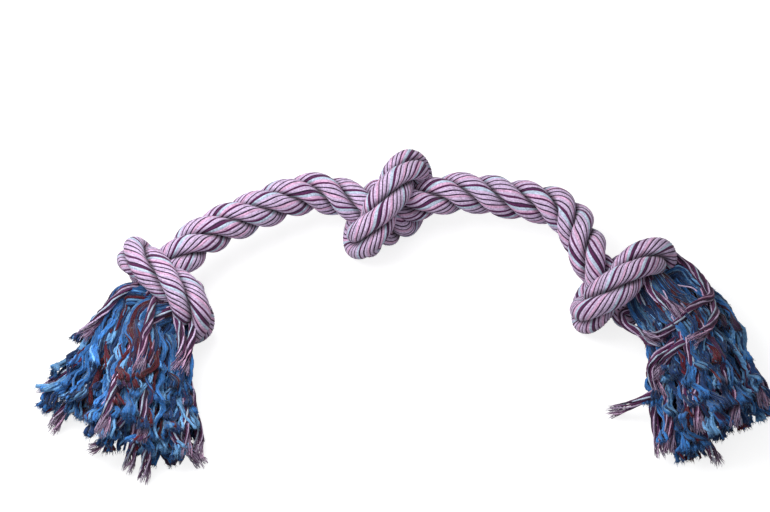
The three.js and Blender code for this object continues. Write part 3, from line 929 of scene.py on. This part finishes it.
class StrandEnd:
    """One unlaid strand end: the lines of its cords and of its core yarns, and how they swell."""

    def __init__(self, rope, side, strand):
        self.side, self.strand = side, strand
        self.facts = STRAND_ENDS[side, strand]
        root = rope.roots[side]
        inward = 1 if side == "left" else -1
        hidden = [rope.strand_frame(strand, np.array(root + inward * run))[0] for run in HIDDEN_RUNS]
        self.hinge = rope.strand_frame(strand, np.array(root))[0]
        self.out = -inward * rope.line.ahead(np.array(root))
        route = np.array(self.facts["route"]) - PLAN_MIDDLE
        leaving = self.hinge + self.out * ROOT_RUN
        root_fan, end_fan = self.facts["fan"]
        across = unit(np.cross(UP, self.out))
        aside = root_fan * across - FAN_BACK * abs(root_fan) * self.out
        self.cord_line = Line([*hidden, self.hinge, leaving, *route])
        spread = [point + mix(end_fan * across, aside, share) for point, share in zip(route, FAN_SHARES)]
        spread.append(spread[-1] + YARN_OVERHANG * unit(spread[-1] - spread[-2]))
        self.yarn_line = Line([*hidden, self.hinge + aside, leaving + aside, *spread])
        self.cord_root = self.cord_line.runs[STEPS_PER_POINT * len(hidden)]
        self.yarn_root = self.yarn_line.runs[STEPS_PER_POINT * len(hidden)]
        self.body = f"{side}_tassel_{strand}"
        self.knot = f"{side}_knot"

    def cord_section(self, runs):
        """Half sizes of the ring that the cover cords lie on, and its shift to the side."""
        swelling = self.cord_line.length - COVER_REACH - self.cord_root
        share = np.clip((runs - self.cord_root) / swelling, 0, 1) ** CORE_SWELL
        end_width = min(CORE_END_HALF_WIDTH, self.facts["yarn_width"] + CORD_OUTSIDE)
        return (mix(CORE_ROOT_HALF, end_width, share), mix(CORE_ROOT_HALF, self.facts["half_height"], share),
                share * self.facts["fan"][1])

    def yarn_share(self, runs):
        """How far along the core yarns a place is: 0 at the root, 1 at the tip."""
        return np.clip((runs - self.yarn_root) / (self.yarn_line.length - self.yarn_root), 0, 1)

    def yarn_halves(self, runs):
        """Half the width and height of the core yarns."""
        share = self.yarn_share(runs)
        gathered = mix(YARN_GATHERED, 1.0, smoothstep(runs, 0, self.yarn_root))
        root_width, root_height = YARN_ROOT_HALVES
        wide = mix(root_width, self.facts["yarn_width"], share)
        high = mix(root_height, self.facts["half_height"] + YARN_EXTRA_HEIGHT, share)
        return wide * gathered, high * gathered

    def cross(self, line, runs):
        """Places on a line, and the directions to its right and over it there."""
        ahead = line.ahead(runs)
        right = unit(np.cross(UP, ahead))
        return line.at(runs), right, np.cross(ahead, right)

    def hang(self, piece):
        """Bakes a piece's place into its mesh."""
        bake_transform(piece)


def strand_ends(context):
    """All strand ends of both tassels."""
    rope = Rope(context.scene.rope_toy_rope)
    return [StrandEnd(rope, side, strand) for side, strand in STRAND_ENDS]


def yarn_tubes(lines, radii, sides, colours, rng, ridge=0.0, cap=0.0):
    """Round tubes along many lines, with ridges along them and some sides a little darker than others."""
    side, over = cross_directions(lines)
    steps = np.linalg.norm(np.diff(lines, axis=1), axis=2)
    runs = np.concatenate([np.zeros((len(lines), 1)), np.cumsum(steps, axis=1)], axis=1)
    angle = np.arange(sides) / sides * WHOLE_TURN + rng.uniform(0, WHOLE_TURN, (len(lines), 1, 1))
    angle = angle + (runs / RIDGE_RUN)[..., None]
    reach = radii[..., None] * (1 + ridge * np.where(np.arange(sides) % 2, -1, 1))
    rings = (lines[:, :, None] + (reach * np.cos(angle))[..., None] * side[:, :, None]
             + (reach * np.sin(angle))[..., None] * over[:, :, None])
    np.clip(rings[..., 2], 0.0, None, out=rings[..., 2])
    shade = rng.uniform(*SIDE_SHADES, (len(lines), 1, sides, 1))
    return TubeGroup(rings, colours * shade, cap)


def tapering(radii, rings, count):
    """Radii of many fine tubes that taper alike."""
    return np.linspace(*radii, rings) * np.ones((count, 1))


class Lock:
    """One lock of core yarns in a strand end: its own line, and the yarns that twist round it."""

    def __init__(self, end, tassel, number, rng):
        self.end, self.tassel = end, tassel
        if number < tassel.locks:
            kind = INNER_LOCKS
            turn = (number + rng.uniform(*kind["place"])) * WHOLE_TURN * GOLDEN_PART
            out = kind["out"] * math.sqrt((number + 0.5) / tassel.locks)
        else:
            kind = TOP_LOCKS
            place = number - tassel.locks + rng.uniform(*kind["place"])
            turn = WHOLE_TURN / 2 * place / tassel.top_locks
            out = rng.uniform(*kind["out"])
        reach = rng.uniform(*kind["reach"]) * end.yarn_line.length
        self.runs = np.linspace(0, 1, CORE_RINGS) * reach
        self.middle, self.right, self.over = end.cross(end.yarn_line, self.runs)
        wide, high = end.yarn_halves(self.runs)
        self.free = smoothstep(self.runs, *(end.yarn_root + run for run in LOCK_FREE))
        sway = wander(rng, 2, self.runs, LOCK_DRIFT_WAVE) * self.free
        wave = np.sin(WHOLE_TURN * self.runs / rng.uniform(*LOCK_WAVE_RUN) + rng.uniform(0, WHOLE_TURN))
        waved = rng.uniform(*LOCK_WAVE) * self.free * wave
        self.x = wide * out * math.cos(turn) + LOCK_DRIFT[0] * sway[0] + waved
        self.y = high * out * math.sin(turn) + LOCK_DRIFT[1] * sway[1]
        self.radius = kind["thick"] * mix(*LOCK_RADII, end.yarn_share(self.runs))
        self.flat = rng.uniform(*LOCK_FLATNESS)
        self.tip = smoothstep(self.runs, reach - LOCK_TIP_RUN, reach) ** 2
        self.lean = rng.normal((0, kind["curl_up"]), LOCK_LEAN, 2)

    def yarn(self, rng):
        """The middle line and the radii of one yarn."""
        spin = rng.uniform(0, WHOLE_TURN) - WHOLE_TURN * self.runs / self.tassel.lock_twist
        apart = math.sqrt(rng.uniform(*YARN_OUT)) * self.radius * (1 + LOCK_FLARE * self.tip)
        drift = wander(rng, 2, self.runs, YARN_DRIFT_WAVE) * self.free * YARN_DRIFT
        splay = self.lean + rng.normal(0, YARN_SPLAY, 2)
        x = self.x + apart * np.cos(spin) + drift[0] + splay[0] * self.tip
        y = self.y + self.flat * apart * np.sin(spin) + drift[1] + splay[1] * self.tip
        line = self.middle + x[:, None] * self.right + y[:, None] * self.over
        curl = WHOLE_TURN * self.runs / rng.uniform(*CRIMP_RUN) + rng.uniform(0, WHOLE_TURN)
        crimp = self.tassel.crimp * self.free * rng.uniform(*CRIMP_SPREAD)
        crimp_x = crimp * np.sin(curl)
        crimp_y = crimp * np.cos(curl * CRIMP_RATIO)
        line += crimp_x[:, None] * self.right + crimp_y[:, None] * self.over
        radius = mix(self.tassel.core_yarn_root, self.tassel.core_yarn_tip, self.end.yarn_share(self.runs))
        radius = radius * rng.uniform(*YARN_SPREAD) * rng.uniform(*YARN_SLUBS, CORE_RINGS)
        radius = radius * (1 + TIP_SWELL * self.tip)
        line[:, 2] = np.maximum(line[:, 2], radius)
        return line, radius


def core_lines(end, tassel, rng):
    """Middle lines and radii of a strand end's core yarns, lock by lock."""
    yarns = []
    for number in range(tassel.locks + tassel.top_locks):
        lock = Lock(end, tassel, number, rng)
        yarns += [lock.yarn(rng) for _ in range(tassel.lock_yarns)]
    lines, radii = zip(*yarns)
    return np.array(lines), np.array(radii)


def core_paint(tassel, colours, rng):
    """A dye for each core yarn of a strand end, mostly its lock's, darker or lighter from lock to lock."""
    keys, weights = zip(*CORE_SHARES)
    locks = tassel.locks + tassel.top_locks
    yarns = locks * tassel.lock_yarns
    by_lock = np.repeat(rng.choice(len(keys), locks, p=weights), tassel.lock_yarns)
    by_yarn = rng.choice(len(keys), yarns, p=weights)
    picked = np.where(rng.uniform(0, 1, yarns) < LOCK_DYED, by_lock, by_yarn)
    paint = np.array([colours[keys[pick]] for pick in picked])[:, None, None]
    lock_shade = np.repeat(rng.uniform(*LOCK_SHADES, locks), tassel.lock_yarns)
    yarn_shade = lock_shade * rng.uniform(*YARN_SHADES, yarns)
    return paint * yarn_shade[:, None, None, None]


def fluff(lines, radii, paint, rng):
    """Short fibres that stand off the core yarns past their first third and brush out at their cut ends."""
    starts, tips, picked = [], [], []
    for number, (line, radius) in enumerate(zip(lines, radii)):
        for fibre in range(FIBRES_PER_YARN + FIBRES_PER_TIP):
            at_tip = fibre >= FIBRES_PER_YARN
            ring = len(line) - 1 if at_tip else rng.integers(len(line) // 3, len(line))
            ahead = unit(line[ring] - line[ring - 1])
            astray = unit(rng.normal(0, 1, 3))
            reach = (FIBRE_AHEAD * ahead + FIBRE_ASIDE * astray) * rng.uniform(*FIBRE_LENGTHS)
            starts.append(line[ring] + FIBRE_OUT * radius[ring] * astray - ahead * FIBRE_BACK)
            tips.append(starts[-1] + reach)
            picked.append(number)
    share = np.linspace(0, 1, FIBRE_RINGS)[None, :, None]
    starts, tips = np.array(starts)[:, None], np.array(tips)[:, None]
    bow = rng.normal(0, FIBRE_BOW, (len(starts), 1, 3)) * bowed(share)
    fibres = mix(starts, tips, share) + bow
    fibres[..., 2] = np.maximum(fibres[..., 2], FIBRE_LOWEST)
    thin = tapering(FIBRE_RADII, FIBRE_RINGS, len(fibres))
    return yarn_tubes(fibres, thin, FIBRE_SIDES, FIBRE_LIGHT * paint[picked], rng)


class CoreYarns(bpy.types.Operator):
    """Spread the blue and maroon core yarns of the tassels"""
    bl_idname = "rope_toy.core_yarns"
    bl_label = "Core Yarns"

    def execute(self, context):
        colours = dyes(context)
        tassel = context.scene.rope_toy_tassels
        # painted shade at each core yarn's root, in the knot's shade, and painted light towards its tip
        root_shade_tip_light = np.linspace(*ROOT_SHADE_TIP_LIGHT, CORE_RINGS)[None, :, None, None]
        for number, end in enumerate(strand_ends(context)):
            rng = np.random.default_rng(CORE_SEED + number)
            lines, radii = core_lines(end, tassel, rng)
            paint = core_paint(tassel, colours, rng)
            yarns = yarn_tubes(lines, radii, CORE_SIDES, paint * root_shade_tip_light, rng, cap=CORE_CAP)
            fibres = fluff(lines, radii, paint, rng)
            piece = mesh_of_tubes(f"{end.body}_core_yarns", [yarns, fibres], core_yarn())
            end.hang(piece)
            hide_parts(f"{end.body}_core")
        return {"FINISHED"}


def cord_yarns(line, runs, tassel, rng):
    """Middle lines and radii of a cord's yarns, which open and thin towards its frayed tip."""
    middle = line.at(runs)
    side, over = (part[0] for part in cross_directions(middle[None]))
    fray = min(FRAY_RUN, FRAY_SHARE * line.length)
    loose = smoothstep(runs, line.length - fray, line.length)
    lines = []
    for yarn in range(len(CORD_YARNS)):
        turn = WHOLE_TURN * yarn / len(CORD_YARNS) + rng.uniform(-CORD_JITTER, CORD_JITTER)
        spin = turn + WHOLE_TURN * runs / tassel.cord_twist
        opened = 1 + FRAY_OPEN * loose * rng.uniform(*FRAY_SPREAD)
        apart = tassel.cord_radius * CORD_YARN_OUT * opened
        stray = wander(rng, 2, runs, YARN_DRIFT_WAVE) * CORD_YARN_DRIFT
        x = apart * np.cos(spin) + stray[0]
        y = apart * np.sin(spin) + stray[1]
        lines.append(middle + x[:, None] * side + y[:, None] * over)
    lines = np.array(lines)
    radius = tassel.cord_radius * CORD_YARN_RADIUS * (1 - FRAY_THIN * loose)
    radii = np.broadcast_to(radius, lines.shape[:2])
    lines[..., 2] = np.maximum(lines[..., 2], radii)
    return lines, radii


def frayed_threads(lines, tip, rng):
    """Fine threads that start on a cord's yarns and end near the middle of its tip."""
    threads = []
    nearest, farthest = THREAD_ROOTS
    share = np.linspace(0, 1, THREAD_RINGS)[:, None]
    for path in lines:
        ahead = unit(path[-1] - path[-nearest])
        for _ in range(THREADS_PER_YARN):
            astray = np.clip(rng.normal(0, THREAD_ASTRAY, 3), -THREAD_ASTRAY_MOST, THREAD_ASTRAY_MOST)
            reach = path[-1] + rng.uniform(-THREAD_AHEAD, THREAD_AHEAD) * ahead + astray - tip
            end = tip + reach * min(1.0, FRAY_REACH / np.linalg.norm(reach))
            begin = path[-rng.integers(nearest, farthest)]
            threads.append(mix(begin, end, share) + THREAD_BOW * astray * bowed(share))
    threads = np.array(threads)
    threads[..., 2] = np.maximum(threads[..., 2], THREAD_LOWEST)
    return threads


def cover_cord(name, points, tassel, colours, rng):
    """A twisted cord of cover yarns with a frayed tip, its middle line and its length."""
    line = Line(points)
    runs = np.linspace(0, line.length, max(LEAST_CORD_RINGS, round(line.length / CORD_STEP)))
    lines, radii = cord_yarns(line, runs, tassel, rng)
    middle = line.at(runs)
    paint = np.array([colours[key] for key in CORD_YARNS])[:, None, None]
    paint = paint * rng.uniform(*CORD_SHADES, (len(paint), 1, 1, 1))
    yarns = yarn_tubes(lines, radii, CORD_SIDES, paint, rng, ridge=YARN_RIDGE, cap=CORD_CAP)
    threads = frayed_threads(lines, middle[-1], rng)
    thin = tapering(THREAD_RADII, THREAD_RINGS, len(threads))
    thread_paint = mix(np.repeat(paint, THREADS_PER_YARN, axis=0), colours["lilac"], THREAD_LILAC)
    frayed = yarn_tubes(threads, thin, THREAD_SIDES, thread_paint, rng)
    return mesh_of_tubes(name, [yarns, frayed], cover_yarn()), middle, line.length


def loose_yarn(name, points, colours, rng):
    """One cover yarn, its middle line and its length."""
    line = Line(points)
    middle = line.at(np.linspace(0, line.length, max(LEAST_CORD_RINGS, round(line.length / RING_STEP))))
    radii = np.full((1, len(middle)), LOOSE_YARN_RADIUS)
    lilac = colours["lilac"]
    group = yarn_tubes(middle[None], radii, LOOSE_YARN_SIDES, lilac, rng, ridge=YARN_RIDGE, cap=CORD_CAP)
    return mesh_of_tubes(name, [group], cover_yarn()), middle, line.length


def cover_points(end, degrees, tassel, rng):
    """Points of a cover cord that lies against the core yarns of a strand end."""
    runs = np.linspace(CORD_START, end.cord_line.length, CORD_POINTS)
    middle, right, over = end.cross(end.cord_line, runs)
    wide, high, shift = end.cord_section(runs)
    free = smoothstep(runs, end.cord_root, end.cord_line.length)
    drift = wander(rng, 2, runs, CORD_DRIFT_WAVE) * free * CORD_DRIFT
    angle = math.radians(degrees)
    away = tassel.cord_radius + COVER_GAP
    x = shift + (wide + away) * math.cos(angle) + drift[0]
    y = (high + away) * math.sin(angle) + drift[1]
    points = middle + x[:, None] * right + y[:, None] * over
    points[:, 2] = np.maximum(points[:, 2], tassel.cord_radius)
    return points


class CoverCords(bpy.types.Operator):
    """Twist the lilac and plum cover cords of the tassels"""
    bl_idname = "rope_toy.cover_cords"
    bl_label = "Cover Cords"

    def execute(self, context):
        tassel = context.scene.rope_toy_tassels
        colours = dyes(context)
        for number, end in enumerate(strand_ends(context)):
            rng = np.random.default_rng(CORD_SEED + number)
            for place, degrees in enumerate(end.facts["covers"]):
                points = cover_points(end, degrees, tassel, rng)
                made = cover_cord(f"{end.body}_cover_cord_{place + 1}", points, tassel, colours, rng)
                self.declare(end, made, tassel.cord_radius)
                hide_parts(f"{end.body}_cover_{place + 1}")
            for place, points in enumerate(LOOSE_CORDS[end.side, end.strand]):
                made = cover_cord(f"{end.body}_loose_cord_{place + 1}", points, tassel, colours, rng)
                self.declare(end, made, tassel.cord_radius)
            for place, points in enumerate(LOOSE_YARNS.get((end.side, end.strand), ())):
                made = loose_yarn(f"{end.body}_loose_yarn_{place + 1}", points, colours, rng)
                self.declare(end, made, LOOSE_YARN_RADIUS)
        return {"FINISHED"}

    def declare(self, end, made, radius):
        piece, path, length = made
        end.hang(piece)


def background_rays(tree):
    """1 on the rays that show the background itself: from the camera, off a gloss or through glass."""
    path = add_node(tree, "ShaderNodeLightPath", {})
    shown = path.outputs["Is Camera Ray"]
    for ray in ("Is Glossy Ray", "Is Transmission Ray"):
        either = add_node(tree, "ShaderNodeMath", {0: shown, 1: path.outputs[ray]}, operation="MAXIMUM")
        shown = either.outputs["Value"]
    return shown


class StageSetting(bpy.types.Operator):
    """Set up the floor, the light and the camera"""
    bl_idname = "rope_toy.stage"
    bl_label = "Stage"

    def execute(self, context):
        stage = context.scene.rope_toy_stage
        scene = context.scene
        scene.view_settings.view_transform = "Standard"
        self.camera(scene, stage)
        self.floor(scene, stage)
        self.sky(scene, stage)
        self.lamp(scene, "key", KEY_LAMP, stage.key_power)
        self.lamp(scene, "fill", FILL_LAMP, stage.fill_power)
        return {"FINISHED"}

    def aim(self, thing, target):
        direction = Vector(target) - thing.location
        thing.rotation_euler = direction.to_track_quat("-Z", "Y").to_euler()

    def camera(self, scene, stage):
        data = bpy.data.cameras.new("camera")
        data.sensor_width = SENSOR_WIDTH
        data.lens = stage.lens
        camera = bpy.data.objects.new("camera", data)
        scene.collection.objects.link(camera)
        looked_at = np.array(LOOKED_AT) - PLAN_MIDDLE
        elevation = math.radians(CAMERA_ELEVATION)
        back = np.array((0.0, -math.cos(elevation), math.sin(elevation)))
        camera.location = looked_at + back * CAMERA_DISTANCE
        self.aim(camera, looked_at)
        scene.camera = camera

    def lamp(self, scene, name, facts, power):
        data = bpy.data.lights.new(name, "AREA")
        data.size = facts["size"]
        data.energy = power
        lamp = bpy.data.objects.new(name, data)
        scene.collection.objects.link(lamp)
        lamp.location = facts["place"]
        self.aim(lamp, LAMP_AIM)

    def floor(self, scene, stage):
        half = FLOOR_HALF
        corners = [(-half, -half, 0), (half, -half, 0), (half, half, 0), (-half, half, 0)]
        mesh = bpy.data.meshes.new("floor")
        mesh.from_pydata(corners, [], [(0, 1, 2, 3)])
        floor = bpy.data.objects.new("floor", mesh)
        scene.collection.objects.link(floor)
        material = bpy.data.materials.new("pale floor")
        material.use_nodes = True
        tree = material.node_tree
        glow = add_node(tree, "ShaderNodeMath", {0: background_rays(tree), 1: stage.floor_glow},
                        operation="MULTIPLY")
        join_inputs(tree, tree.nodes["Principled BSDF"], {
            "Base Color": (*stage.floor_colour, 1),
            "Roughness": FLOOR_ROUGHNESS,
            "Specular IOR Level": 0.0,
            "Emission Color": WHITE,
            "Emission Strength": glow.outputs["Value"],
        })
        mesh.materials.append(material)

    def sky(self, scene, stage):
        world = bpy.data.worlds.new("soft sky")
        scene.world = world
        world.use_nodes = True
        tree = world.node_tree
        whiten = add_node(tree, "ShaderNodeMapRange", {
            "Value": background_rays(tree),
            "To Min": stage.sky_strength,
            "To Max": 1.0,
        })
        background = tree.nodes["Background"]
        join_inputs(tree, background, {"Color": WHITE, "Strength": whiten.outputs["Result"]})


class RopeToyPanel(bpy.types.Panel):
    """Steps that make the rope toy"""
    bl_idname = "VIEW3D_PT_rope_toy"
    bl_label = "Rope Toy"
    bl_space_type = "VIEW_3D"
    bl_region_type = "UI"
    bl_category = "Rope Toy"

    def draw(self, context):
        for operator in OPERATORS:
            self.layout.operator(operator.bl_idname)
        for group in SETTINGS:
            settings = getattr(context.scene, group)
            for key in settings.__annotations__:
                self.layout.prop(settings, key)


OPERATORS = (StageSetting, CoverCords, KnotStrands, BendStrands, CoreYarns)
SETTINGS = {
    "rope_toy_rope": RopeSizes,
    "rope_toy_tassels": TasselSizes,
    "rope_toy_colours": YarnColours,
    "rope_toy_stage": StageSettings,
}


def register():
    for group in (*SETTINGS.values(), *OPERATORS, RopeToyPanel):
        bpy.utils.register_class(group)
    for name, group in SETTINGS.items():
        setattr(bpy.types.Scene, name, bpy.props.PointerProperty(type=group))


def unregister():
    for name in SETTINGS:
        delattr(bpy.types.Scene, name)
    for group in (RopeToyPanel, *reversed(OPERATORS), *reversed(list(SETTINGS.values()))):
        bpy.utils.unregister_class(group)


def main():
    register()
    bpy.ops.rope_toy.stage()
    bpy.ops.rope_toy.cover_cords()
    bpy.ops.rope_toy.knot_strands()
    bpy.ops.rope_toy.bend_strands()
    bpy.ops.rope_toy.core_yarns()


if __name__ == "__main__":
    main()
